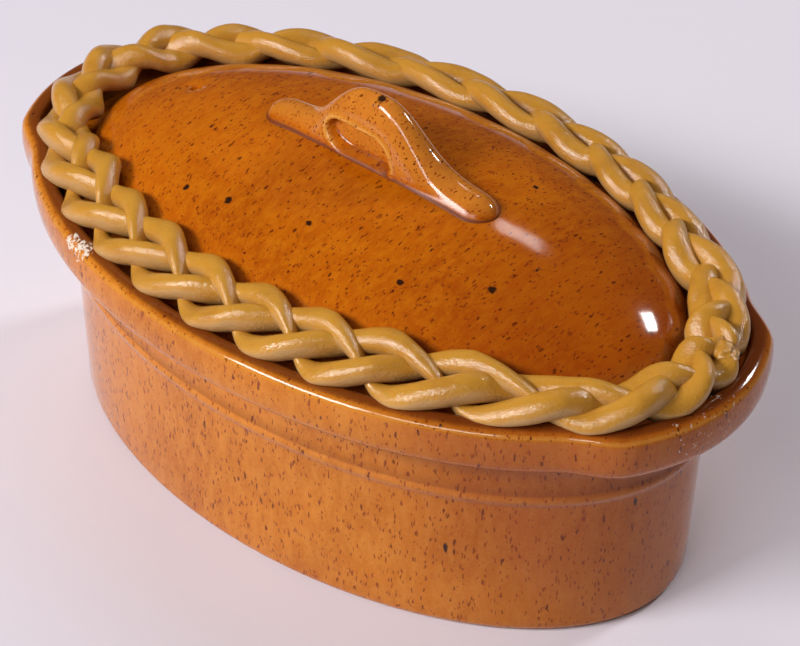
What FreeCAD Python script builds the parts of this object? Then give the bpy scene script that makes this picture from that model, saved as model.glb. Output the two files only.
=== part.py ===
"""Oval stoneware terrine with end lugs, a domed lid with a pinched ridge handle and a plaited dough seal.

Frame: millimetres, +Z up, +X along the length, origin at the centre of the foot on the table.
Every horizontal outline is an oval of tangent arcs, and every wall profile is drawn at the +X end
as (offset, height), where the offset is measured outwards from the crest line of the rim. Roundings
and the dome are drawn in small flats.
"""
import FreeCAD
import Part
import math
import os

Vector = FreeCAD.Vector

# Dish, overall
RIM_HALF_LENGTH = 160.0
RIM_HALF_WIDTH = 102.0
DISH_HEIGHT = 109.0

# Oval of tangent arcs that follows an ellipse: end radius over the ellipse's own, and the two
# directions in which one arc passes into the next
END_RADIUS_FACTOR = 1.066
END_ARC_ANGLE = math.radians(37.7)
SIDE_ARC_ANGLE = math.radians(67.4)

# Rim: a rounded lip, a collar outside it and a gutter inside it
LIP_HALF_THICKNESS = 3.0
LIP_HEIGHT = 2.9
COLLAR_HEIGHT = 21.0
COLLAR_ROUND = 6.5
GUTTER_DEPTH = 16.0
GUTTER_SLOPE_RUN = 3.5
LEDGE_WIDTH = 12.0

# Lugs: the rim bulges outwards at both ends between two S-shaped shoulders
LUG_REACH = 6.7
LUG_HALF_ANGLE = math.radians(29.0)
LUG_SHOULDER_RADIUS = 25.0
LUG_HOLLOW_RADIUS = 16.0
LUG_UNDERSIDE_DROP = 9.0
COLLAR_OVERLAP = 0.8
COLLAR_ROOT = 3.0

# Body below the collar
BODY_TOP_INSET = 15.4
FOOT_INSET = 18.0
COVE_TOP_INSET = 8.4
COVE_HEIGHT = 20.0
COVE_HOLLOW = 5.0
BEAD_HEIGHT = 4.0
BEAD_REACH = 1.3
FOOT_ROUND = 3.5
WALL = 7.0
FLOOR_THICKNESS = 4.5
FLOOR_ROUND = 14.0
FOOT_RING_WIDTH = 7.0
FOOT_RING_DEPTH = 2.5

# Lid
LID_CLEARANCE = 2.0
BRIM_CLEARANCE = 1.5
BRIM_THICKNESS = 5.0
APEX_ABOVE_RIM = 29.0
DOME_RISE = 36.0
DOME_FULLNESS = 1.9
DOME_BANDS = 8
HOLLOW_BANDS = 4
DOME_FLATNESS = 0.12
LID_WALL = 5.5
SPIGOT_DEPTH = 6.0
VENT_RADIUS = 2.5
VENT_MOUTH_RADIUS = 4.0
VENT_FROM_CENTRE = 98.0

# Handle: a ridge along the lid with a bell-shaped hump, pinched by a finger hollow on each side
HANDLE_HALF_LENGTH = 58.0
HANDLE_HALF_WIDTH = 9.5
HANDLE_RISE = 26.0
HUMP_HALF_LENGTH = 26.0
TAIL_RISE = 6.5
HANDLE_ROOT = 8.0
HANDLE_STATIONS = 13
HANDLE_TIP_SHARE = 0.985
ARCH_FLATS = 10
CREST_WIDTH_SHARE = 0.6
FLANK_HEIGHT_SHARE = 0.62
HOLLOW_FRONT_X = 11.5
HOLLOW_MIDDLE_X = -3.0
HOLLOW_BACK_X = -22.5
HOLLOW_BACK_SLANT = 5.5
HOLLOW_FOOT_RISE = 1.2
HOLLOW_SHOULDER_RISE = 7.5
HOLLOW_TOP_RISE = 15.8
WEB_THICKNESS = 9.6

# Dough, laid in the gutter on the brim of the lid and leaning inwards over the dome's shoulder: the
# shares are how far from the middle to the wall its underside stands over the dome
DOUGH_CLEARANCE = 0.4
DOUGH_TOP_ABOVE_RIM = 11.0
DOUGH_OUTER_INSET = 3.0
DOUGH_LEAN_RISE = 3.5
DOUGH_LEAN_CLEARANCE = 1.2
DOUGH_LEAN_SHARES = (0.935, 0.97)

# Heights and offsets that follow from the sizes above
LEDGE_Z = DISH_HEIGHT - GUTTER_DEPTH
LIP_CENTRE_Z = DISH_HEIGHT - LIP_HEIGHT
COLLAR_FOOT_Z = DISH_HEIGHT - COLLAR_HEIGHT
COVE_FOOT_Z = COLLAR_FOOT_Z - COVE_HEIGHT
BEAD_FOOT_Z = COVE_FOOT_Z - BEAD_HEIGHT
FLOOR_Z = FOOT_RING_DEPTH + FLOOR_THICKNESS
GUTTER_TOP_OFFSET = -2 * LIP_HALF_THICKNESS
GUTTER_FOOT_OFFSET = GUTTER_TOP_OFFSET - GUTTER_SLOPE_RUN
MOUTH_OFFSET = GUTTER_FOOT_OFFSET - LEDGE_WIDTH
BRIM_OFFSET = GUTTER_FOOT_OFFSET - BRIM_CLEARANCE
BRIM_TOP_Z = LEDGE_Z + BRIM_THICKNESS
LID_OFFSET = MOUTH_OFFSET - LID_CLEARANCE
LID_HALF_LENGTH = RIM_HALF_LENGTH + LID_OFFSET
LID_HALF_WIDTH = RIM_HALF_WIDTH + LID_OFFSET
APEX_Z = DISH_HEIGHT + APEX_ABOVE_RIM
SPRING_Z = APEX_Z - DOME_RISE
SPIGOT_FOOT_Z = LEDGE_Z - SPIGOT_DEPTH


def direction(angle):
    return Vector(math.cos(angle), math.sin(angle), 0)


def oval_arcs():
    """Centre and radius of the end, middle and side arc of the rim's crest line, first quadrant."""
    end_radius = END_RADIUS_FACTOR * RIM_HALF_WIDTH ** 2 / RIM_HALF_LENGTH
    end_centre = Vector(RIM_HALF_LENGTH - end_radius, 0, 0)
    first = direction(END_ARC_ANGLE)
    second = direction(SIDE_ARC_ANGLE)
    # The side arc's centre lies on the Y axis and its top at the half width: two linear equations
    x_known = -end_centre.x - end_radius * first.x
    y_known = RIM_HALF_WIDTH - end_radius * first.y
    determinant = (second.x - first.x) * (1 - second.y) + second.x * (second.y - first.y)
    middle_radius = (x_known * (1 - second.y) + second.x * y_known) / determinant
    side_radius = ((second.x - first.x) * y_known - (second.y - first.y) * x_known) / determinant
    middle_centre = end_centre + first * (end_radius - middle_radius)
    side_centre = middle_centre + second * (middle_radius - side_radius)
    return (end_centre, end_radius), (middle_centre, middle_radius), (side_centre, side_radius)


def arc_edge(centre, radius, start, stop):
    points = [centre + direction(angle) * radius for angle in (start, (start + stop) / 2, stop)]
    return Part.Arc(*points).toShape()


def mirrored(edges, across_x, across_y):
    for wanted, normal in ((across_x, Vector(1, 0, 0)), (across_y, Vector(0, 1, 0))):
        if wanted:
            edges = [edge.mirror(Vector(), normal) for edge in edges]
    return edges


def closed_outline(end, end_angle, between, side, side_angle, z):
    """Wire of arcs from the +X point round: end, quarter, side, quarter, far end and back again."""
    upper_side = [arc_edge(*side, side_angle, math.pi - side_angle)]
    far_end = mirrored([arc_edge(*end, -end_angle, end_angle)], True, False)
    edges = [arc_edge(*end, 0, end_angle)] + between + upper_side
    edges += mirrored(between, True, False)[::-1] + far_end + mirrored(between, True, True)
    edges += mirrored(upper_side, False, True) + mirrored(between, False, True)[::-1]
    edges += [arc_edge(*end, -end_angle, 0)]
    wire = Part.Wire(edges)
    wire.translate(Vector(0, 0, z))
    return wire


def oval_outline(offset, z=0.0):
    end, middle, side = [(centre, radius + offset) for centre, radius in oval_arcs()]
    between = [arc_edge(*middle, END_ARC_ANGLE, SIDE_ARC_ANGLE)]
    return closed_outline(end, END_ARC_ANGLE, between, side, SIDE_ARC_ANGLE, z)


def lugged_outline():
    """The crest line with its lugs: wider end arc, round shoulder, hollow, then the plain oval."""
    end, middle, side = oval_arcs()
    lug = (end[0], end[1] + LUG_REACH)
    shoulder_centre = end[0] + direction(LUG_HALF_ANGLE) * (lug[1] - LUG_SHOULDER_RADIUS)
    # The hollow's arc touches the shoulder and the middle arc from outside
    to_shoulder = LUG_SHOULDER_RADIUS + LUG_HOLLOW_RADIUS
    to_middle = middle[1] + LUG_HOLLOW_RADIUS
    between = shoulder_centre - middle[0]
    along = (to_middle ** 2 - to_shoulder ** 2 + between.Length ** 2) / (2 * between.Length)
    across = math.sqrt(to_middle ** 2 - along ** 2)
    unit = between / between.Length
    hollow_centre = middle[0] + unit * along + Vector(-unit.y, unit.x, 0) * across
    leave_shoulder = hollow_centre - shoulder_centre
    leave_hollow = hollow_centre - middle[0]
    shoulder_angle = math.atan2(leave_shoulder.y, leave_shoulder.x)
    hollow_angle = math.atan2(leave_hollow.y, leave_hollow.x)
    bends = [
        arc_edge(shoulder_centre, LUG_SHOULDER_RADIUS, LUG_HALF_ANGLE, shoulder_angle),
        arc_edge(hollow_centre, LUG_HOLLOW_RADIUS, shoulder_angle + math.pi, hollow_angle + math.pi),
        arc_edge(*middle, hollow_angle, SIDE_ARC_ANGLE),
    ]
    return closed_outline(lug, LUG_HALF_ANGLE, bends, side, SIDE_ARC_ANGLE, 0.0)


def profile_face(points, start_x=RIM_HALF_LENGTH):
    """Upright face of straight sides, drawn at the start of an outline."""
    corners = [Vector(start_x + offset, 0, height) for offset, height in points]
    return Part.Face(Part.makePolygon(corners + corners[:1]))


def rounding(corner, entry, leave, facets):
    """Points of a rounded corner drawn as a few flats, from its entry to its leaving point."""
    points = []
    for step in range(facets + 1):
        t = step / facets
        weights = ((1 - t) ** 2, 2 * t * (1 - t), t ** 2)
        points.append(tuple(
            sum(w * q[axis] for w, q in zip(weights, (entry, corner, leave))) for axis in (0, 1)))
    return points


def make_dish():
    inner_foot = -(FOOT_INSET + WALL)
    plate_offset = inner_foot - FLOOR_ROUND
    ring_inner = -(FOOT_INSET + FOOT_ROUND + FOOT_RING_WIDTH)
    cove_foot = -BODY_TOP_INSET + BEAD_REACH / 2
    body = profile_face([
        (plate_offset, FOOT_RING_DEPTH),
        (ring_inner - FOOT_RING_DEPTH, FOOT_RING_DEPTH),
        (ring_inner, 0),
        (-FOOT_INSET - FOOT_ROUND, 0),
        (-FOOT_INSET, FOOT_ROUND),
        (-BODY_TOP_INSET, BEAD_FOOT_Z),
        (-BODY_TOP_INSET + BEAD_REACH, BEAD_FOOT_Z + BEAD_HEIGHT / 2),
    ] + rounding(
        (cove_foot, COLLAR_FOOT_Z - COVE_HOLLOW), (cove_foot, COVE_FOOT_Z), (-COVE_TOP_INSET, COLLAR_FOOT_Z), 3
    ) + [
        (-COVE_TOP_INSET, LEDGE_Z),
        (MOUTH_OFFSET, LEDGE_Z),
    ] + rounding((inner_foot, FLOOR_Z), (inner_foot, FLOOR_Z + FLOOR_ROUND), (plate_offset, FLOOR_Z), 2))
    root_offset = -(COVE_TOP_INSET + LUG_REACH + COLLAR_ROOT)
    collar = profile_face([
        (GUTTER_FOOT_OFFSET, LEDGE_Z),
        (root_offset, LEDGE_Z),
        (root_offset, COLLAR_FOOT_Z - LUG_UNDERSIDE_DROP),
    ] + rounding(
        (0, COLLAR_FOOT_Z), (-COVE_TOP_INSET - COLLAR_OVERLAP, COLLAR_FOOT_Z), (0, COLLAR_FOOT_Z + COLLAR_ROUND), 3
    ) + rounding(
        (0, DISH_HEIGHT), (0, LIP_CENTRE_Z), (-LIP_HALF_THICKNESS, DISH_HEIGHT), 2
    ) + rounding(
        (GUTTER_TOP_OFFSET, DISH_HEIGHT), (-LIP_HALF_THICKNESS, DISH_HEIGHT), (GUTTER_TOP_OFFSET, LIP_CENTRE_Z), 2
    )[1:], RIM_HALF_LENGTH + LUG_REACH)
    plate = Part.Face(oval_outline(plate_offset, FOOT_RING_DEPTH)).extrude(Vector(0, 0, FLOOR_THICKNESS))
    walls = oval_outline(0).makePipe(body)
    rim = lugged_outline().makePipe(collar)
    return walls.fuse([plate, rim]).removeSplitter()


def dome_rise(share):
    """Rise of the dome over its springing, at this share of the way from the centre to the wall."""
    return DOME_RISE * (1 - share ** DOME_FULLNESS) ** (1 / DOME_FULLNESS)


def dome_height(x):
    """Height of the outer dome over the long axis."""
    return SPRING_Z + dome_rise(abs(x) / LID_HALF_LENGTH)


def dome_form(inset, foot_z, bands):
    """Upright oval wall with a dome of narrowing ovals over it, every oval with the same flats."""
    wall = oval_outline(LID_OFFSET - inset).discretize(Deflection=DOME_FLATNESS)[:-1]
    rings = [(1.0, foot_z)]
    for band in range(bands):
        share = math.cos(math.pi / 2 * band / bands) ** (2 / DOME_FULLNESS)
        rings.append((share, SPRING_Z - inset + dome_rise(share)))
    ovals = [[Vector(share * p.x, share * p.y, height) for p in wall] for share, height in rings]
    outlines = [ovals[0], ovals[-1]]
    for lower, upper in zip(ovals, ovals[1:]):
        outlines += [[lower[i - 1], lower[i], upper[i], upper[i - 1]] for i in range(len(wall))]
    shell = Part.makeShell([Part.Face(Part.makePolygon(corners + corners[:1])) for corners in outlines])
    shell.sewShape()
    return Part.Solid(shell)


def blunt_fade(x):
    """Falls from one to nothing at the handle's tips, steeply only close to them."""
    return math.sqrt(1 - (x / HANDLE_HALF_LENGTH) ** 6)


def ridge_section(x):
    """Arched section of the ridge at a station along the lid, closed by a line at its root."""
    hump = (HANDLE_RISE - TAIL_RISE) * math.exp(-(x / HUMP_HALF_LENGTH) ** 2)
    height = HANDLE_ROOT + (hump + TAIL_RISE) * blunt_fade(x)
    foot = HANDLE_HALF_WIDTH * blunt_fade(x)
    crest = foot * CREST_WIDTH_SHARE
    flank = height * FLANK_HEIGHT_SHARE
    root_z = dome_height(x) - HANDLE_ROOT
    shape = [(-foot, 0), (-foot, flank), (-crest, height), (crest, height), (foot, flank), (foot, 0)]
    poles = [Vector(x, y, root_z + z) for y, z in shape]
    arch = Part.BSplineCurve()
    arch.buildFromPolesMultsKnots(poles, [4, 1, 1, 4], [0, 1, 2, 3], False, 3)
    corners = [arch.value(3 * step / ARCH_FLATS) for step in range(ARCH_FLATS + 1)]
    return Part.makePolygon(corners + corners[:1])


def finger_hollow():
    """Recess that goes in from beyond one flank to the web: sharp lower front corner, round top."""
    back_foot = HOLLOW_BACK_X + HOLLOW_BACK_SLANT
    outline = [(back_foot, HOLLOW_FOOT_RISE), (HOLLOW_FRONT_X, HOLLOW_FOOT_RISE)]
    outline += rounding(
        (HOLLOW_FRONT_X, HOLLOW_TOP_RISE),
        (HOLLOW_FRONT_X, HOLLOW_SHOULDER_RISE), (HOLLOW_MIDDLE_X, HOLLOW_TOP_RISE), 4)
    outline += rounding(
        (HOLLOW_BACK_X, HOLLOW_TOP_RISE),
        (HOLLOW_MIDDLE_X, HOLLOW_TOP_RISE), (HOLLOW_BACK_X, HOLLOW_SHOULDER_RISE), 4)[1:]
    corners = [Vector(x, WEB_THICKNESS / 2, APEX_Z + rise) for x, rise in outline]
    return Part.Face(Part.makePolygon(corners + corners[:1])).extrude(Vector(0, HANDLE_HALF_WIDTH, 0))


def make_handle():
    """Ridge lofted along the lid, with a finger hollow in each flank."""
    reach = HANDLE_HALF_LENGTH * HANDLE_TIP_SHARE
    turns = [math.pi * (i / (HANDLE_STATIONS - 1) - 0.5) for i in range(HANDLE_STATIONS)]
    ridge = Part.makeLoft([ridge_section(reach * math.sin(turn)) for turn in turns], True, True)
    hollow = finger_hollow()
    return ridge.cut([hollow, hollow.mirror(Vector(), Vector(0, 1, 0))])


def make_lid():
    outer = dome_form(0, SPIGOT_FOOT_Z, DOME_BANDS)
    inner = dome_form(LID_WALL, SPIGOT_FOOT_Z - LID_WALL, HOLLOW_BANDS)
    brim = Part.Face(oval_outline(BRIM_OFFSET, LEDGE_Z)).extrude(Vector(0, 0, BRIM_THICKNESS))
    lid = outer.fuse([brim, make_handle()]).cut(inner)
    vent_top = dome_height(VENT_FROM_CENTRE)
    vent = Part.makeCylinder(VENT_RADIUS, LID_WALL * 4, Vector(-VENT_FROM_CENTRE, 0, vent_top - LID_WALL * 3))
    mouth_depth = VENT_MOUTH_RADIUS - VENT_RADIUS
    mouth = Part.makeCone(
        VENT_RADIUS, VENT_MOUTH_RADIUS + mouth_depth, 2 * mouth_depth,
        Vector(-VENT_FROM_CENTRE, 0, vent_top - mouth_depth))
    return lid.cut([vent, mouth])


def make_dough():
    base_z = BRIM_TOP_Z + DOUGH_CLEARANCE
    slope = GUTTER_SLOPE_RUN / (LIP_CENTRE_Z - LEDGE_Z)
    outer_foot = GUTTER_FOOT_OFFSET + slope * (base_z - LEDGE_Z) - DOUGH_CLEARANCE
    outer_neck = GUTTER_TOP_OFFSET - DOUGH_CLEARANCE
    inner_foot = LID_HALF_LENGTH - RIM_HALF_LENGTH + DOUGH_CLEARANCE
    belly_z = DISH_HEIGHT + DOUGH_TOP_ABOVE_RIM / 2
    top_z = DISH_HEIGHT + DOUGH_TOP_ABOVE_RIM
    # Over the shoulder the underside follows the dome where it stands highest, on the short axis
    underside = [
        (LID_OFFSET - LID_HALF_WIDTH * (1 - share), SPRING_Z + dome_rise(share) + DOUGH_LEAN_CLEARANCE)
        for share in DOUGH_LEAN_SHARES]
    tip = underside[0]
    crown = (tip[0] - DOUGH_OUTER_INSET) / 2
    section = profile_face([
        (inner_foot, base_z),
        (outer_foot, base_z),
        (outer_neck, LIP_CENTRE_Z + DOUGH_CLEARANCE),
    ] + rounding((-DOUGH_OUTER_INSET, top_z), (-DOUGH_OUTER_INSET, belly_z), (crown, top_z), 2)
      + rounding((tip[0], top_z), (crown, top_z), tip, 2)[1:]
      + underside[1:] + [(inner_foot, SPRING_Z + DOUGH_LEAN_RISE)])
    return oval_outline(0).makePipe(section)


def main():
    os.makedirs("parts", exist_ok=True)
    pieces = {"dish": make_dish(), "lid": make_lid(), "dough_plait": make_dough()}
    for name, shape in pieces.items():
        solid = shape.Solids[0]
        print(name, "solids", len(shape.Solids), "valid", solid.isValid(), "volume", round(solid.Volume))
        solid.exportStep(f"parts/{name}.step")


main()
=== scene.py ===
import math

import bmesh
import bpy
from mathutils import Matrix, Vector, noise


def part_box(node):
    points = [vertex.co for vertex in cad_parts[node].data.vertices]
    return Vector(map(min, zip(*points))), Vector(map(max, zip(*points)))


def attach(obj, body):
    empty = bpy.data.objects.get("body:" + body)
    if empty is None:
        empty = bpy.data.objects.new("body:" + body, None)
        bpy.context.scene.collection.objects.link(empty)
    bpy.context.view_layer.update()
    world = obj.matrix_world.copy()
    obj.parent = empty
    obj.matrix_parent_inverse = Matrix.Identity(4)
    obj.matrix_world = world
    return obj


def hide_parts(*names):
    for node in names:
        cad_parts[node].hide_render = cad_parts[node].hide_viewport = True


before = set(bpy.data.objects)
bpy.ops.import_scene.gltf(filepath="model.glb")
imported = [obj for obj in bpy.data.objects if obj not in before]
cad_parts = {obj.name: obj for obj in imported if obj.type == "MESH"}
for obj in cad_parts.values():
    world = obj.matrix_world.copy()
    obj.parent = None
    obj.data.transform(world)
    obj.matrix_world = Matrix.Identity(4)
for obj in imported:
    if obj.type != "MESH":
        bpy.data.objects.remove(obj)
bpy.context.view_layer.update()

MM = 0.001

# The rim's outer side is an oval, as wide as the dish's box. It is shorter than the box by the two lugs
dish_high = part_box("dish")[1]
LUG_REACH = 6.7 * MM
LUG_FULL_WIDTH = 37 * MM
LUG_END_WIDTH = 58 * MM
RIM_HALF_LENGTH = dish_high.x - LUG_REACH
RIM_HALF_WIDTH = dish_high.y
RIM_Z = dish_high.z
# Points round the dish and the lid
ROUND_SEGMENTS = 320


# Shapes shared by the pieces
def smooth_step(low, high, value):
    """0 below low, 1 above high, a smooth curve between."""
    share = min(1.0, max(0.0, (value - low) / (high - low)))
    return share * share * (3 - 2 * share)


def beside_rim(turn, outwards, height):
    """A point at this height, this far outwards from the oval of the rim's outer side."""
    x, y = math.cos(turn), math.sin(turn)
    rim = Vector((RIM_HALF_LENGTH * x, RIM_HALF_WIDTH * y, height))
    normal = Vector((x / RIM_HALF_LENGTH, y / RIM_HALF_WIDTH, 0)).normalized()
    return rim + normal * outwards


def lug_bulge(turn):
    """How far the rim stands out at this turn: full between the S-shaped shoulders of a lug."""
    across = abs(RIM_HALF_WIDTH * math.sin(turn))
    return LUG_REACH * (1 - smooth_step(LUG_FULL_WIDTH, LUG_END_WIDTH, across))


def make_piece(name, mesh):
    """A smooth-shaded piece at the origin, from this bmesh."""
    for face in mesh.faces:
        face.smooth = True
    data = bpy.data.meshes.new(name)
    mesh.to_mesh(data)
    mesh.free()
    piece = bpy.data.objects.new(name, data)
    bpy.context.scene.collection.objects.link(piece)
    return piece


class Shell:
    """A closed skin grown ring by ring: each ring is extruded from the last and laid in its place.

    Every point keeps its turn round the ring, how thin and pale or pooled and dark its glaze is, with
    painted shade also in the dark at the handle's foot, and how dull the glaze is.
    """

    def __init__(self, segments):
        self.mesh = bmesh.new()
        self.turn = self.mesh.verts.layers.float.new("turn")
        self.glaze_and_shade = self.mesh.verts.layers.float.new("glaze_and_shade")
        self.dull = self.mesh.verts.layers.float.new("dull")
        made = bmesh.ops.create_circle(self.mesh, segments=segments, radius=1.0)
        self.ring = made["verts"]
        self.edges = self.mesh.edges[:]
        self.first = self.edges
        self.laid = False
        for vert in self.ring:
            vert[self.turn] = math.atan2(vert.co.y, vert.co.x)

    def grow(self, place, glaze_and_shade=0.0):
        """Adds a ring whose points lie where place(turn) says."""
        if self.laid:
            made = bmesh.ops.extrude_edge_only(self.mesh, edges=self.edges)["geom"]
            self.ring = [part for part in made if isinstance(part, bmesh.types.BMVert)]
            fresh = set(self.ring)
            self.edges = [
                part for part in made
                if isinstance(part, bmesh.types.BMEdge) and set(part.verts) <= fresh]
        for vert in self.ring:
            vert.co = place(vert[self.turn])
            vert[self.glaze_and_shade] = glaze_and_shade
        self.laid = True

    def pole(self):
        """Draws the last ring together into one point."""
        centre = sum((vert.co for vert in self.ring), Vector()) / len(self.ring)
        bmesh.ops.pointmerge(self.mesh, verts=self.ring, merge_co=centre)

    def cap(self, edges):
        """Closes the ring of these edges with a flat face."""
        bmesh.ops.edgeloop_fill(self.mesh, edges=edges)

    def finish(self, name):
        """Turns all faces outwards and makes the piece."""
        bmesh.ops.recalc_face_normals(self.mesh, faces=self.mesh.faces[:])
        return make_piece(name, self.mesh)


def round_corner(entry, corner, leave, steps):
    """Points from entry to leave on a curve that turns at the corner."""
    points = []
    for step in range(steps + 1):
        t = step / steps
        points.append(tuple(
            (1 - t) ** 2 * a + 2 * t * (1 - t) * b + t * t * c
            for a, b, c in zip(entry, corner, leave)))
    return points


# The dish
# Profile points are (outwards from the lip's outer side, height, share of the lug's bulge, thinness of
# the glaze), in millimetres. Glaze is thin and pale at 1, pooled and dark at -1.
# The top of the lip from outside inwards: (outwards, depth under the rim's height, thinness)
LIP_TOP = [
    (.1, 4.4, 0), (-.05, 3.6, .2), (-.45, 2.85, .55), (-1.05, 2.1, .4), (-1.85, 1.4, -.2),
    (-2.8, .85, -.7), (-3.9, .45, -.95), (-5.0, .2, -1), (-6.1, .15, -1), (-7.1, .45, -1),
    (-7.9, 1.2, -1), (-8.4, 2.4, -1), (-8.7, 4, -1)]


def dish_profile():
    """The dish's outline from under its foot, up outside, over the lip and down inside."""
    foot = [(-47, 2.5, 0, 0), (-32, 2.5, 0, 0), (-31, 2.5, 0, 0)]
    foot += round_corner((-30, 1.6, 0, 0), (-29.2, 0, 0, 0), (-27.5, 0, 0, 0), 3)
    foot += [(-25, 0, 0, 0), (-23, 0, 0, 0)]
    foot += round_corner((-22, 0, 0, 0), (-18.2, 0, 0, .5), (-17.9, 4.5, 0, 0), 5)
    wall = [(-17.3, 18, 0, 0), (-16.8, 30, 0, 0), (-16.2, 44, 0, 0), (-15.6, 58, 0, 0)]
    bead = [
        (-15.4, 62, 0, 0), (-15.2, 63.2, 0, -.3), (-14.6, 64.3, 0, .05), (-14.1, 65.4, 0, .22),
        (-14.0, 66.4, 0, .25), (-14.3, 67.4, 0, .1), (-14.7, 68.4, 0, -.5)]
    cove = [
        (-14.8, 70, 0, -.4), (-14.7, 73, 0, -.2), (-14.5, 76, .02, 0), (-14.1, 78.5, .08, 0),
        (-13.5, 81, .22, 0), (-12.6, 83.2, .45, 0), (-11.5, 85, .68, -.2), (-10.2, 86.6, .88, -.5),
        (-9.0, 87.6, 1, -.8)]
    collar = round_corner((-8.0, 88, 1, -.7), (-.6, 88.2, 1, .2), (.0, 95.5, 1, 0), 8)
    collar += [(.35, 98, 1, 0), (.4, 101, 1, 0), (.25, 103.5, 1, 0)]
    lip = [(outwards, RIM_Z / MM - depth, 1, glaze_and_shade) for outwards, depth, glaze_and_shade in LIP_TOP]
    gutter = [(-9.0, 101, 1, -.95), (-9.2, 97, 1, -.95)]
    gutter += round_corner((-9.3, 94.6, 1, -1), (-9.8, 93, 1, -1), (-11.2, 93, .9, -1), 4)
    ledge = [(-14, 93, .5, -.8), (-18, 93, 0, -.4)]
    ledge += round_corner((-20.3, 93, 0, 0), (-21.5, 93, 0, .8), (-21.7, 91.5, 0, 0), 3)
    inside = [(-22.5, 75, 0, 0), (-23.8, 48, 0, 0), (-24.7, 28, 0, 0)]
    inside += round_corner((-25, 21, 0, 0), (-25.4, 7, 0, 0), (-39, 7, 0, 0), 7)
    inside += [(-43, 7, 0, 0)]
    return foot + wall + bead + cove + collar + lip + gutter + ledge + inside


def build_dish():
    shell = Shell(ROUND_SEGMENTS)
    for outwards, height, bulge, glaze_and_shade in dish_profile():
        shell.grow(
            lambda turn: beside_rim(turn, outwards * MM + bulge * lug_bulge(turn), height * MM), glaze_and_shade)
    shell.cap(shell.edges)
    shell.cap(shell.first)
    return shell.finish("stoneware_dish")


# The lid
LID_OFFSET = -23.5 * MM
LID_HALF_LENGTH = RIM_HALF_LENGTH + LID_OFFSET
LID_HALF_WIDTH = RIM_HALF_WIDTH + LID_OFFSET
SPRING_Z = RIM_Z - 7 * MM
DOME_RISE = 36 * MM
DOME_FULLNESS = 1.9
LID_WALL = 5.5 * MM
# The brim under the dough, as (outwards from the rim's outer side, height) in millimetres
BRIM = [(-12.2, 93), (-11.3, 93.4), (-11, 94.3), (-11, 96.7), (-11.4, 97.7), (-12.4, 98)]
# The spigot below the brim and the neck above it, as (inwards from the dome's outer wall, height)
SPIGOT = [(1.4, 87), (.4, 87.4), (0, 88.4), (0, 92.6), (-.6, 93)]
NECK = [(-2.6, 98), (-1, 98.4), (-.2, 99.4)]


def dome_rise(share):
    """Height of the dome over its spring line, this share of the way from the middle to the wall."""
    return DOME_RISE * max(0.0, 1 - share ** DOME_FULLNESS) ** (1 / DOME_FULLNESS)


def on_dome(turn, share, inset):
    """A point of the dome this share of the way from the middle to the wall."""
    wall = beside_rim(turn, LID_OFFSET - inset, 0)
    return Vector((wall.x * share, wall.y * share, SPRING_Z - inset + dome_rise(share)))


VENT = Vector((-98 * MM, 0))
VENT_RADIUS = 2.4 * MM
VENT_DEPTH = 4 * MM
VENT_DIMPLE = 4.2 * MM
VENT_DIMPLE_DEPTH = 1.5 * MM
# Circles round the vent, inside each of which the faces are halved once more
VENT_REACHES = (14 * MM, 9 * MM, 6 * MM, 5 * MM)


def vent_sink(point):
    """How far the glaze sinks by the vent: a soft dimple with a steep-walled hole in its middle."""
    apart = (point.xy - VENT).length
    dimple = VENT_DIMPLE_DEPTH * math.exp(-(apart / VENT_DIMPLE) ** 2)
    return dimple + VENT_DEPTH * (1 - smooth_step(.55, 1.05, apart / VENT_RADIUS))


def refine_vent(shell):
    """Finer faces round the vent, sunk to its shape on the outside of the dome."""
    for reach in VENT_REACHES:
        near_edges = [
            edge for edge in shell.mesh.edges
            if all((vert.co.xy - VENT).length < reach for vert in edge.verts)
            and all(vert.co.z > SPRING_Z + 15 * MM for vert in edge.verts)]
        bmesh.ops.subdivide_edges(shell.mesh, edges=near_edges, cuts=1, use_grid_fill=True)
    for vert in shell.mesh.verts:
        share = math.hypot(vert.co.x / LID_HALF_LENGTH, vert.co.y / LID_HALF_WIDTH)
        surface = SPRING_Z + dome_rise(share)
        close = share < 1 and (vert.co.xy - VENT).length < VENT_REACHES[0]
        if close and vert.co.z > surface - 2 * MM:
            vert.co.z = surface - vent_sink(vert.co)


def build_lid():
    shell = Shell(ROUND_SEGMENTS)
    steps = 26
    shares = [
        math.sin(math.pi / 2 * (step + .35) / steps) ** (2 / DOME_FULLNESS)
        for step in range(steps)] + [1.0]
    for share in shares[::2]:
        shell.grow(lambda turn: on_dome(turn, share, LID_WALL))
    inner, outer = LID_OFFSET - LID_WALL, LID_OFFSET
    profile = [(inner, 92), (inner, 88.2), (inner + .4 * MM, 87.3), (inner + 1.4 * MM, 87)]
    profile += [(outer - inset * MM, height) for inset, height in SPIGOT]
    profile += [(outwards * MM, height) for outwards, height in BRIM]
    profile += [(outer - inset * MM, height) for inset, height in NECK]
    for outwards, height in profile:
        shell.grow(lambda turn: beside_rim(turn, outwards, height * MM))
    for share in shares[::-1]:
        shell.grow(lambda turn: on_dome(turn, share, 0), .25 * smooth_step(.93, .99, share))
    shell.pole()
    shell.cap(shell.first)
    refine_vent(shell)
    return shell.finish("stoneware_lid")


# The ridge handle on the lid
HANDLE_HALF_LENGTH = 56 * MM
HANDLE_HALF_WIDTH = 9.5 * MM
HANDLE_ROOT = 6 * MM
TAIL_RISE = 5.2 * MM
HUMP_RISE = 20.3 * MM
# How far the hump reaches and how steeply it ends, on the side away from the vent and towards it
GENTLE_SIDE = (22.5 * MM, 2.4)
STEEP_SIDE = (25.6 * MM, 3.3)
# Below one, the ridge's flanks are fuller than an ellipse's
FLANK_POWER = 2 / 2.15


def ridge_rise(x):
    """Height of the ridge's crest over the dome."""
    reach, steepness = GENTLE_SIDE if x > 0 else STEEP_SIDE
    hump = HUMP_RISE * math.exp(-abs(x / reach) ** steepness)
    return (hump + TAIL_RISE) * ridge_fade(x)


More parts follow.
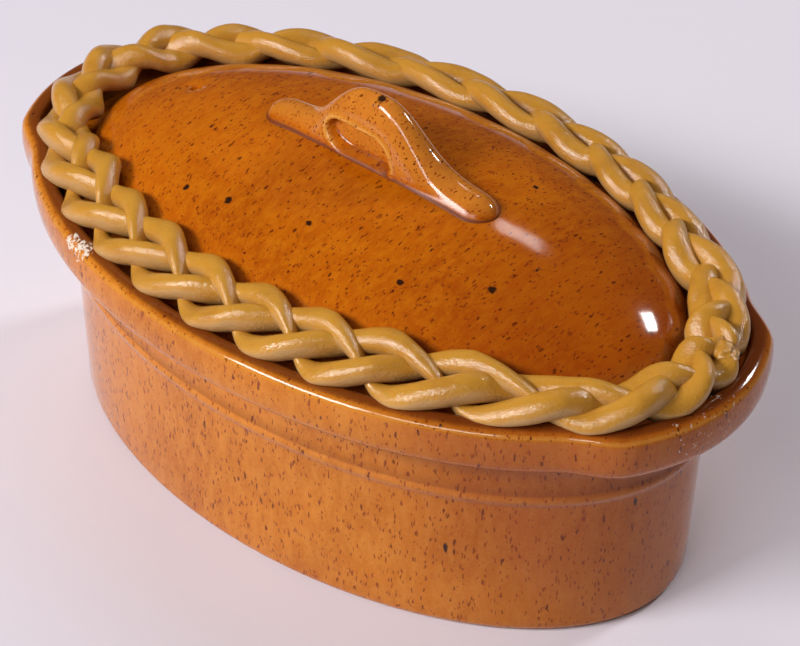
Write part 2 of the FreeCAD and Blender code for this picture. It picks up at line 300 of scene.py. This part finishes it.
def ridge_fade(x):
    """One along the ridge, falling as a quarter circle to its round tips."""
    into_tip = (abs(x) - HANDLE_HALF_LENGTH + HANDLE_HALF_WIDTH) / HANDLE_HALF_WIDTH
    return math.sqrt(1 - min(1.0, max(0.0, into_tip)) ** 2)


# The finger hollow's outline on a flank, anticlockwise from its sharp corner: (along, rise over the dome)
HOLLOW_OUTLINE = [
    (13.4, .4), (12.6, 5), (9.8, 9.8), (5.2, 12.4), (-9.5, 13.4),
    (-17, 13.2), (-20.6, 11), (-21.6, 7.2), (-18, 2.6), (-12.8, .4)]
# The higher this is, the tighter the outline's corners
CORNER_SHARPNESS = 1.4
HOLLOW_TOP = 13 * MM
WEB_HALF_THICKNESS = 3.9 * MM
WEB_SLOPE = .11
RIM_ROLL = .55 * MM
FOOT_FLARE = 1.1 * MM


def inside_hollow(x, rise):
    """Distance inside the hollow's outline in millimetres, less than nothing outside it."""
    total = 0.0
    for (x0, y0), (x1, y1) in zip(HOLLOW_OUTLINE, HOLLOW_OUTLINE[1:] + HOLLOW_OUTLINE[:1]):
        length = math.hypot(x1 - x0, y1 - y0)
        distance = ((x1 - x0) * (rise / MM - y0) - (y1 - y0) * (x / MM - x0)) / length
        total += math.exp(-min(40.0, CORNER_SHARPNESS * distance))
    return -math.log(total) / CORNER_SHARPNESS


def handle_section(x):
    """Places the points of the ridge's cross-section at x: a rounded flank hollowed for a finger."""
    root = SPRING_Z + dome_rise(abs(x) / LID_HALF_LENGTH) - HANDLE_ROOT
    width = HANDLE_HALF_WIDTH * ridge_fade(x)
    full = ridge_rise(x) + HANDLE_ROOT

    def place(turn):
        if math.sin(turn) < 0:
            return Vector((x, width * math.cos(turn), root))
        across = abs(math.cos(turn)) ** FLANK_POWER * width
        up = abs(math.sin(turn)) ** FLANK_POWER * full
        rise = up - HANDLE_ROOT
        inside = inside_hollow(x, rise)
        web = WEB_HALF_THICKNESS + WEB_SLOPE * (HOLLOW_TOP - rise)
        recess = HANDLE_HALF_WIDTH + (web - HANDLE_HALF_WIDTH) * smooth_step(0, 1.7, inside)
        roll = RIM_ROLL * math.exp(-((inside + .5) / .8) ** 2)
        flare = FOOT_FLARE * math.exp(-max(0.0, rise + .2 * MM) / (.8 * MM))
        across = math.copysign(min(across, recess) + roll + flare, math.cos(turn))
        return Vector((x, across, root + up))
    return place


def build_handle():
    shell = Shell(segments=160)
    stations = 190
    for step in range(stations + 1):
        turn = math.pi * (step / stations - .5)
        shell.grow(handle_section(HANDLE_HALF_LENGTH * .999 * math.sin(turn)))
    for vert in shell.mesh.verts:
        rise = vert.co.z - SPRING_Z - dome_rise(abs(vert.co.x) / LID_HALF_LENGTH)
        inside = inside_hollow(vert.co.x, rise)
        # At the foot the glaze is darker, partly where it pools and partly as painted shade in the crease
        # against the lid, and duller
        foot = math.exp(-max(0.0, rise - .2 * MM) / (.9 * MM))
        edge = math.exp(-((inside + .3) / .8) ** 2)
        floor_rim = math.exp(-((inside - 1.7) / .8) ** 2)
        vert[shell.glaze_and_shade] = .4 - 1.5 * foot + .6 * edge * (1 - foot) - .75 * floor_rim
        vert[shell.dull] = foot
    shell.cap(shell.edges)
    shell.cap(shell.first)
    return shell.finish("stoneware_handle")


# The plait of dough that seals the lid
PLAIT_Z = RIM_Z + 2.3 * MM
STRAND_HALF_WIDTH = 6.15 * MM
STRAND_HALF_HEIGHT = 5.85 * MM
LOBES = 26
LOBE_START = .62
JOIN_TURN = math.radians(9)
# Stations round the plait's middle line, of which the strands take every second one
STATIONS = 1500
# Passes that ease the strands' centre lines, and that smooth their skin
EASING_PASSES = 14
SMOOTHING_PASSES = 8


def near(turn, centre, width):
    """One at the centre turn, falling to nothing over this width, both in degrees."""
    apart = (math.degrees(turn) - centre + 180) % 360 - 180
    return math.exp(-(apart / width) ** 2)


def lobe_length(turn):
    """Length of rim for a lobe in millimetres: long at the front right and the back, short by the join."""
    return 28 + 10 * near(turn, -38, 20) + 8 * near(turn, 108, 34) - 9 * near(turn, 6, 14)


def plait_lay(turn):
    """Middle offset, sway, height and inward tilt of the plait.

    Along the sides it is wider and leans on the lid, and at the right end it lies against the lip.
    """
    side = 1 - smooth_step(.62, .93, abs(math.cos(turn)))
    offset = (-13.4 - 3.5 * side + 5.5 * near(turn, -14, 26) - 2 * near(turn, 48, 26)) * MM
    sway = (6.1 + 2.0 * side - 1.2 * near(turn, 48, 26)) * MM
    height = PLAIT_Z + (1.6 + .9 * side) * MM
    return offset, sway, height, .05 + .5 * side


# One full turn of a strand in twelve even steps, from the start of its outer lobe:
# where it lies across the plait (1 outer edge, -1 inner edge), its lift in millimetres, its thickness
STRAND_WAVE = [
    (.76, -4.0, .76), (1.0, -1.0, .93), (.92, 1.6, 1.06), (.68, 3.2, 1.08),
    (.32, 3.5, 1.04), (-.15, 1.4, .97), (-.82, -2.2, .90), (-1.0, -.6, .90),
    (-.98, 1.2, .93), (-.72, 2.9, .91), (-.38, 3.0, .87), (0, .2, .80)]


def strand_wave(turns, evenness):
    """The wave's values after this many turns, eased by this share towards an even plait.

    Between the wave's steps they follow a smooth curve through the two steps on either side.
    """
    place = turns % 1 * len(STRAND_WAVE)
    first = math.floor(place)
    t = place - first
    before, here, there, after = (
        STRAND_WAVE[(first + step) % len(STRAND_WAVE)] for step in (-1, 0, 1, 2))
    uneven = [
        b + .5 * t * (c - a + t * (2 * a - 5 * b + 4 * c - d + t * (3 * b - 3 * c + d - a)))
        for a, b, c, d in zip(before, here, there, after)]
    even = [
        math.cos(math.tau * (turns - .12)),
        -3.6 * math.cos(2 * math.tau * (turns - .03)),
        1.05]
    return [value + (target - value) * evenness for value, target in zip(uneven, even)]


def plait_line():
    """Stations along the plait from one end of the join round to the other: (turn, lobes passed)."""
    rows = [(JOIN_TURN, 0.0)]
    before = beside_rim(JOIN_TURN, plait_lay(JOIN_TURN)[0], 0)
    for step in range(1, STATIONS + 1):
        turn = JOIN_TURN + 2 * math.pi * step / STATIONS
        here = beside_rim(turn, plait_lay(turn)[0], 0)
        rows.append((turn, rows[-1][1] + (here - before).length / (lobe_length(turn) * MM)))
        before = here
    share = LOBES / rows[-1][1]
    return [(turn, LOBE_START + lobes * share) for turn, lobes in rows]


# The stoneware that the dough lies on, in millimetres: middle, half width and inner side of the lip as
# lengths inwards from its outer side, then the heights of its shoulder, crown, ledge and brim
LIP_MIDDLE = 4.6
LIP_HALF_WIDTH = 4.8
LIP_INNER_SIDE = 9.4
LIP_SHOULDER = RIM_Z / MM - 2.7
LIP_CROWN = 2.9
LEDGE_TOP = RIM_Z / MM - 15.8
BRIM_TOP = RIM_Z / MM - 10.9
BRIM_EDGE = 11.2


def clear_of_stoneware(point, turn):
    """Moves a point that would sink into the lip, the brim or the dome to their surface."""
    rim = beside_rim(turn, 0, 0)
    normal = (beside_rim(turn, MM, 0) - rim).normalized()
    outwards = (point - rim).dot(normal) / MM
    bulge = lug_bulge(turn) / MM
    height = point.z / MM
    across_lip = (outwards - bulge + LIP_MIDDLE) / LIP_HALF_WIDTH
    if abs(across_lip) < 1:
        lip_top = LIP_SHOULDER + LIP_CROWN * math.sqrt(1 - across_lip ** 2)
        into_lip = outwards - (bulge - LIP_INNER_SIDE)
        if height < lip_top and into_lip < lip_top - height:
            outwards -= into_lip
        else:
            height = max(height, lip_top)
    height = max(height, BRIM_TOP if outwards < -BRIM_EDGE else LEDGE_TOP)
    moved = rim + normal * (outwards * MM)
    wall = beside_rim(turn, LID_OFFSET, 0)
    share = math.hypot(moved.x, moved.y) / math.hypot(wall.x, wall.y)
    if share < 1:
        height = max(height, (SPRING_Z + dome_rise(share)) / MM + .15)
    elif share < 1.004:
        height = max(height, BRIM_TOP)
    return Vector((moved.x, moved.y, height * MM))


def strand_centres(number, line):
    """The strand's stations, eased: (centre, thickness, turn round the rim)."""
    centres = []
    for turn, lobes in line[::2]:
        offset, sway, height, tilt = plait_lay(turn)
        evenness = .65 * smooth_step(.62, .93, abs(math.cos(turn)))
        across, lift, swell = strand_wave((lobes + number) / 3, evenness)
        wobble = noise.noise(Vector((lobes * .55, number * 7.3, 0)))
        loose = 1 + 1.3 * near(turn, 30, 28)
        across *= sway * (1 + .16 * wobble * loose)
        lift = (lift + wobble * loose) * MM
        swell += .10 * wobble - .05 * near(turn, 108, 40)
        centres.append((beside_rim(turn, offset + across, height + lift - tilt * across), swell, turn))
    for _ in range(EASING_PASSES):
        centres[1:-1] = [
            (.25 * before[0] + .5 * here[0] + .25 * after[0], here[1], here[2])
            for before, here, after in zip(centres, centres[1:], centres[2:])]
    return centres


def build_strand(number, line):
    """A strand of dough with round ends, lumpy as rolled by hand and pressed on what it lies on."""
    shell = Shell(segments=24)
    centres = strand_centres(number, line)
    last = len(centres) - 1
    for index, (centre, swell, rim_turn) in enumerate(centres):
        along = (centres[min(index + 3, last)][0] - centres[max(index - 3, 0)][0]).normalized()
        side = along.cross(Vector((0, 0, 1))).normalized()
        up = side.cross(along)
        end = min(index, last - index) * .5 * MM
        swell *= math.sqrt(1 - (1 - min(1.0, (end + .05 * MM) / (5 * MM))) ** 2)

        def place(turn):
            across = side * (math.cos(turn) * STRAND_HALF_WIDTH)
            round_point = across + up * (math.sin(turn) * STRAND_HALF_HEIGHT)
            point = centre + round_point * swell
            lump = noise.noise(point / (9 * MM) + Vector((number * 11, 0, 0)))
            dent = noise.noise(point / (3.2 * MM) + Vector((0, number * 5, 0)))
            point += round_point.normalized() * ((lump * .6 + dent * .18) * MM * min(1.0, swell))
            return clear_of_stoneware(point, rim_turn)
        shell.grow(place)
    shell.cap(shell.edges)
    shell.cap(shell.first)
    for _ in range(SMOOTHING_PASSES):
        bmesh.ops.smooth_vert(
            shell.mesh, verts=shell.mesh.verts[:], factor=.5,
            use_axis_x=True, use_axis_y=True, use_axis_z=True)
    return shell.finish(f"dough_strand_{number + 1}")


PINCH_INSET = 8.5 * MM
PINCH_HALF_LENGTH = 8.5 * MM
PINCH_HALF_WIDTH = 10.5 * MM
PINCH_HALF_HEIGHT = 4.6 * MM
PINCH_DROOP = 1.6 * MM


def build_pinch():
    """The star of dough where the ends of the strands are pinched together."""
    mesh = bmesh.new()
    bmesh.ops.create_icosphere(mesh, subdivisions=5, radius=1.0)
    middle = beside_rim(JOIN_TURN, -PINCH_INSET, PLAIT_Z + 4.2 * MM)
    for vert in mesh.verts:
        way = vert.co.copy()
        arm = .58 + .42 * abs(math.cos(1.5 * math.atan2(way.y, way.x) + .5)) ** 1.6
        lump = 1 + .16 * noise.noise(way * 2.3) + .06 * noise.noise(way * 7)
        star = Vector((
            way.x * PINCH_HALF_LENGTH * arm,
            way.y * PINCH_HALF_WIDTH * arm,
            way.z * PINCH_HALF_HEIGHT - PINCH_DROOP * (1 - arm)))
        vert.co = middle + star * lump
    return make_piece("dough_pinch", mesh)


# Materials
class Value:
    """A shader socket that sums like a number: an expression on values adds its Math nodes."""

    def __init__(self, finish, socket):
        self.finish = finish
        self.socket = socket

    def math(self, operation, *others):
        return self.finish.node("ShaderNodeMath", {"operation": operation}, [self, *others])

    def __add__(self, other):
        return self.math("ADD", other)

    def __sub__(self, other):
        return self.math("SUBTRACT", other)

    def __mul__(self, other):
        return self.math("MULTIPLY", other)

    def __rsub__(self, other):
        return self.finish.node("ShaderNodeMath", {"operation": "SUBTRACT"}, [other, self])

    __radd__ = __add__
    __rmul__ = __mul__

    def ramp(self, low, high):
        """0 below low, 1 above high, smooth between."""
        return self.finish.node(
            "ShaderNodeMapRange", {"interpolation_type": "SMOOTHSTEP"},
            {"Value": self, "From Min": low, "From Max": high})


class Finish:
    """A material, with one method that adds any node."""

    def __init__(self, name):
        self.material = bpy.data.materials.new(name)
        self.material.use_nodes = True
        self.tree = self.material.node_tree
        self.shader = self.tree.nodes["Principled BSDF"]

    def node(self, kind, settings=None, sockets=None, output=0):
        """Adds a node of this kind and returns one of its outputs."""
        node = self.tree.nodes.new(kind)
        for key, value in (settings or {}).items():
            setattr(node, key, value)
        pairs = sockets.items() if isinstance(sockets, dict) else enumerate(sockets or [])
        for key, value in pairs:
            self.set(node.inputs[key], value)
        return Value(self, node.outputs[output])

    def set(self, socket, value):
        if isinstance(value, Value):
            self.tree.links.new(value.socket, socket)
        else:
            socket.default_value = value

    def feed(self, **sockets):
        """Sets or links the shader's sockets of these names."""
        for name, value in sockets.items():
            self.set(self.shader.inputs[name.replace("_", " ")], value)

    def place(self, scale=(1, 1, 1), turn=(0, 0, 0)):
        """Object coordinates, scaled after turning."""
        coordinates = self.node("ShaderNodeTexCoord", output="Object")
        return self.node(
            "ShaderNodeMapping", {}, {"Vector": coordinates, "Rotation": turn, "Scale": scale})

    def noise(self, place, scale, detail=2.0, roughness=0.5):
        return self.node(
            "ShaderNodeTexNoise", {},
            {"Vector": place, "Scale": scale, "Detail": detail, "Roughness": roughness})

    def mix(self, share, first, second):
        return self.node(
            "ShaderNodeMix", {"data_type": "RGBA"}, {0: share, 6: first, 7: second}, output=2)

    def attribute(self, name):
        return self.node("ShaderNodeAttribute", {"attribute_name": name}, output="Fac")

    def bump(self, height, strength, distance):
        return self.node(
            "ShaderNodeBump", {}, {"Height": height, "Strength": strength, "Distance": distance})


def specks(finish, place, scale, size):
    """Dark iron specks: one in each cell of this scale, each with a size of its own."""
    cells = {"Vector": place, "Scale": scale, "Randomness": 1.0}
    nearest = finish.node("ShaderNodeTexVoronoi", {}, cells, output="Distance")
    cell = finish.node("ShaderNodeTexVoronoi", {}, cells, output="Color")
    lot = finish.node("ShaderNodeSeparateColor", {}, [cell])
    return (lot * lot * lot * size - nearest).ramp(-.01, .05)


def spot(finish, place, centre, radius):
    """One at the centre of a round spot, nothing beyond its radius."""
    apart = finish.node(
        "ShaderNodeVectorMath", {"operation": "DISTANCE"}, [place, centre], output="Value")
    return 1 - apart.ramp(radius * .55, radius)


def frayed(finish, place, scale, amount):
    """The place moved a little by noise, so that round marks get ragged edges."""
    drift = finish.node(
        "ShaderNodeTexNoise", {}, {"Vector": place, "Scale": scale, "Detail": 2.0}, output="Color")
    drift = finish.node(
        "ShaderNodeVectorMath", {"operation": "MULTIPLY_ADD"},
        [drift, (amount,) * 3, (-amount / 2,) * 3])
    return finish.node("ShaderNodeVectorMath", {"operation": "ADD"}, [place, drift])


def hatching(finish):
    """Fine brush marks that cross each other on the slant."""
    rising = finish.noise(finish.place((1, .12, 1), (0, 0, .75)), 900, 1, .5)
    falling = finish.noise(finish.place((1, .12, 1), (0, 0, -.6)), 900, 1, .5)
    return rising + falling


def highest(values):
    """The highest of several values."""
    top, *others = values
    for value in others:
        top = top.math("MAXIMUM", value)
    return top


def flour_dust(finish, place, patches):
    """Crumbs of flour inside these patches: (centre, radius, amount)."""
    crumbs = finish.noise(place, 520, 4, .7)
    dusted = highest(
        spot(finish, place, Vector(centre) * MM, radius * MM) * amount
        for centre, radius, amount in patches)
    return (crumbs + dusted * .34).ramp(.78, .84) * dusted.ramp(0, .1)


def rgb(red, green, blue):
    return (red, green, blue, 1.0)


THIN_GLAZE = rgb(.72, .33, .06)
POOLED_GLAZE_AND_SHADE = rgb(.13, .022, .003)
SHADED_GLAZE = rgb(.25, .032, .002)
RED_SPECK = rgb(.19, .028, .003)
BROWN_SPECK = rgb(.105, .014, .002)
BLACK_SPECK = rgb(.014, .005, .003)
FLOUR = rgb(.78, .68, .58)
# Painted shade: the glaze is made darker and redder towards this point beyond the dish's right end, the
# side turned away from the lamps
SHADED_END = Vector((185, -25, 100)) * MM
SHADED_REACH = 152 * MM


def glaze(name, streak_scale, deep, middle, pale, spots=(), flour=()):
    """Honey-brown glaze over pale stoneware: mottled, darker where it pools, specked with iron, with
    painted shade towards the right end and at the handle's foot.
    """
    finish = Finish(name)
    plain = finish.place()
    streaked = finish.place(streak_scale)
    mottle = finish.noise(plain, 22, 3, .55)
    streaks = finish.noise(streaked, 260, 3, .6)
    fine = finish.noise(streaked, 900, 2, .6)
    tone = finish.mix(mottle.ramp(.3, .7), deep, middle)
    tone = finish.mix(streaks.ramp(.35, .7) * .5, tone, pale)
    tone = finish.mix(hatching(finish).ramp(.95, 1.25) * .28, tone, pale)
    tone = finish.mix(fine.ramp(.5, .75) * .3, tone, deep)
    # Painted shade: darker and redder towards the right end
    tone = finish.mix(spot(finish, plain, SHADED_END, SHADED_REACH) * .5, tone, SHADED_GLAZE)
    glaze_and_shade = finish.attribute("glaze_and_shade")
    tone = finish.mix(glaze_and_shade.ramp(0, 1) * .75, tone, THIN_GLAZE)
    # Dark where the glaze pools, and at the handle's foot also painted shade
    tone = finish.mix((glaze_and_shade * -1).ramp(0, 1) * .85, tone, POOLED_GLAZE_AND_SHADE)

    ragged = frayed(finish, streaked, 900, .0016)
    tone = finish.mix(specks(finish, ragged, 1100, .56) * .8, tone, RED_SPECK)
    tone = finish.mix(specks(finish, ragged, 540, .33) * .85, tone, BROWN_SPECK)
    rough_place = frayed(finish, plain, 700, .0018)
    bold = highest([specks(finish, ragged, 120, .13)] + [
        spot(finish, rough_place, Vector(centre) * MM, radius * MM) for centre, radius in spots])
    tone = finish.mix(bold * .96, tone, BLACK_SPECK)

    roughness = mottle * .05 + .07 + bold * .1 + finish.attribute("dull") * .42
    if flour:
        dust = flour_dust(finish, plain, flour)
        tone = finish.mix(dust * .9, tone, FLOUR)
        roughness = roughness + dust * .6
    ripple = finish.noise(plain, 60, 2, .5)
    finish.feed(
        Base_Color=tone, Roughness=roughness, Specular_IOR_Level=.32,
        Normal=finish.bump(ripple + bold * .3, .12, .0009))
    return finish.material


def dough(name):
    """Baked dough: yellow and glossy where egg wash lies on its upper side, paler and dull below."""
    finish = Finish(name)
    plain = finish.place()
    cloud = finish.noise(plain, 70, 3, .6)
    grain = finish.noise(plain, 1050, 3, .65)
    crust = finish.noise(plain, 560, 3, .6)
    normal = finish.node("ShaderNodeTexCoord", output="Normal")
    facing_up = finish.node("ShaderNodeSeparateXYZ", {}, [normal], output="Z")
    wash = (facing_up + (cloud - .5) * .9).ramp(-.2, .5)
    tone = finish.mix(wash, rgb(.47, .25, .075), rgb(.55, .252, .027))
    tone = finish.mix(cloud.ramp(.45, .75) * .6, tone, rgb(.41, .165, .017))
    tone = finish.mix(grain.ramp(.45, .8) * .15, tone, rgb(.64, .42, .16))
    finish.feed(
        Base_Color=tone, Roughness=.45 - wash * .36 + grain * .08, Specular_IOR_Level=.75,
        Subsurface_Weight=.06, Subsurface_Radius=(.003, .0015, .0006),
        Normal=finish.bump(grain * 1.2 + crust * .7, .42, .0006))
    return finish.material


# The pieces, each with its finish
def dress(piece, material, node):
    """Gives the piece its finish, hangs it on the root body and hides the CAD node it stands in for."""
    piece.data.materials.append(material)
    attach(piece, "root")
    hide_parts(node)


# Spots of glaze are (centre, radius) and flour is (centre, radius, amount), in millimetres
body_glaze = glaze(
    "body_glaze", (1, 1, .32), rgb(.46, .125, .006), rgb(.57, .17, .010), rgb(.66, .24, .030),
    flour=[((-77, -88, 107), 5, .9), ((-69, -90, 107), 7, .9), ((160, -12, 100), 26, .5)])
lid_glaze = glaze(
    "lid_glaze", (1, .42, 1), rgb(.37, .070, .0015), rgb(.50, .112, .002), rgb(.58, .165, .004),
    spots=[
        ((1, -1, 163), 2.2), ((31, -7, 149.5), 1.8), ((77.8, -27.3, 127.8), 2.1),
        ((49.9, -45.4, 127.3), 1.7), ((4.2, -44.2, 130.9), 1.7), ((-31.5, -50.1, 127.5), 2),
        ((-52.3, -51.4, 124.4), 1.7), ((51.3, 29.2, 131.8), 1.6), ((-70.5, 37.7, 126.6), .9),
        ((-69.9, 35.6, 127.3), .8), ((-69.3, 33.6, 127.9), .7)])
dough_skin = dough("egg_washed_dough")

dress(build_dish(), body_glaze, "dish")
dress(build_lid(), lid_glaze, "lid")
dress(build_handle(), lid_glaze, "lid")
line = plait_line()
for number in range(3):
    dress(build_strand(number, line), dough_skin, "dough_plait")
dress(build_pinch(), dough_skin, "dough_plait")


# Floor, light and camera
def build_floor():
    mesh = bmesh.new()
    bmesh.ops.create_grid(mesh, x_segments=1, y_segments=1, size=4.0)
    floor = make_piece("floor", mesh)
    finish = Finish("pale_floor")
    finish.feed(Base_Color=rgb(.77, .72, .79), Roughness=.8)
    floor.data.materials.append(finish.material)


def softbox(name, lit_point, towards, distance, size, power, mirrored=True):
    """A lamp that lies this way and this far from a point and faces it.

    One that isn't mirrored leaves no highlight.
    """
    lamp = bpy.data.lights.new(name, "AREA")
    lamp.shape = "RECTANGLE"
    lamp.size, lamp.size_y = size
    lamp.energy = power
    light = bpy.data.objects.new(name, lamp)
    aim = Vector(towards).normalized()
    light.location = Vector(lit_point) + aim * distance
    light.rotation_euler = aim.to_track_quat("Z", "Y").to_euler()
    light.visible_glossy = mirrored
    bpy.context.scene.collection.objects.link(light)


build_floor()
# The small softboxes make the lid's two highlights, and the front ones the lines on the lip and the handle
softbox("back_softbox", (.12, 0, .115), (.18, .803, .568), 1.5, (.25, .19), 8)
softbox("back_left_softbox", (.068, 0, .132), (-.303, .646, .701), 1.9, (.19, .17), .8)
softbox("front_key", (0, 0, .1), (-.24, -.74, .58), 1.8, (.8, .35), 26)
softbox("front_strip", (0, 0, .1), (.22, -.73, .6), 1.8, (.8, .2), 7)
softbox("front_fill", (0, 0, .1), (-.45, -.85, .4), 1.8, (.8, .6), 3, mirrored=False)
softbox("top_fill", (0, 0, .1), (-.6, .4, .7), 1.6, (.8, .8), 5.8, mirrored=False)

world = bpy.data.worlds.new("studio")
world.use_nodes = True
background = world.node_tree.nodes["Background"]
background.inputs["Color"].default_value = rgb(.95, .93, .98)
background.inputs["Strength"].default_value = .05
bpy.context.scene.world = world
bpy.context.scene.view_settings.view_transform = "Standard"

CAMERA_AZIMUTH = math.radians(41.072)
CAMERA_ELEVATION = math.radians(36.683)
CAMERA_ROLL = math.radians(.89)
CAMERA_DISTANCE = 1222.74 * MM
CAMERA_TARGET = Vector((-1.941, 14.413, 50)) * MM
CAMERA_LENS = 139.52
CAMERA_SENSOR = 36

camera_data = bpy.data.cameras.new("camera")
camera_data.sensor_width = CAMERA_SENSOR
camera_data.lens = CAMERA_LENS
camera_data.clip_start = .05
camera = bpy.data.objects.new("camera", camera_data)
towards = Vector((
    math.sin(CAMERA_AZIMUTH) * math.cos(CAMERA_ELEVATION),
    -math.cos(CAMERA_AZIMUTH) * math.cos(CAMERA_ELEVATION),
    math.sin(CAMERA_ELEVATION)))
camera.matrix_world = (
    Matrix.Translation(CAMERA_TARGET + towards * CAMERA_DISTANCE)
    @ towards.to_track_quat("Z", "Y").to_matrix().to_4x4()
    @ Matrix.Rotation(CAMERA_ROLL, 4, "Z"))
bpy.context.scene.collection.objects.link(camera)
bpy.context.scene.camera = camera
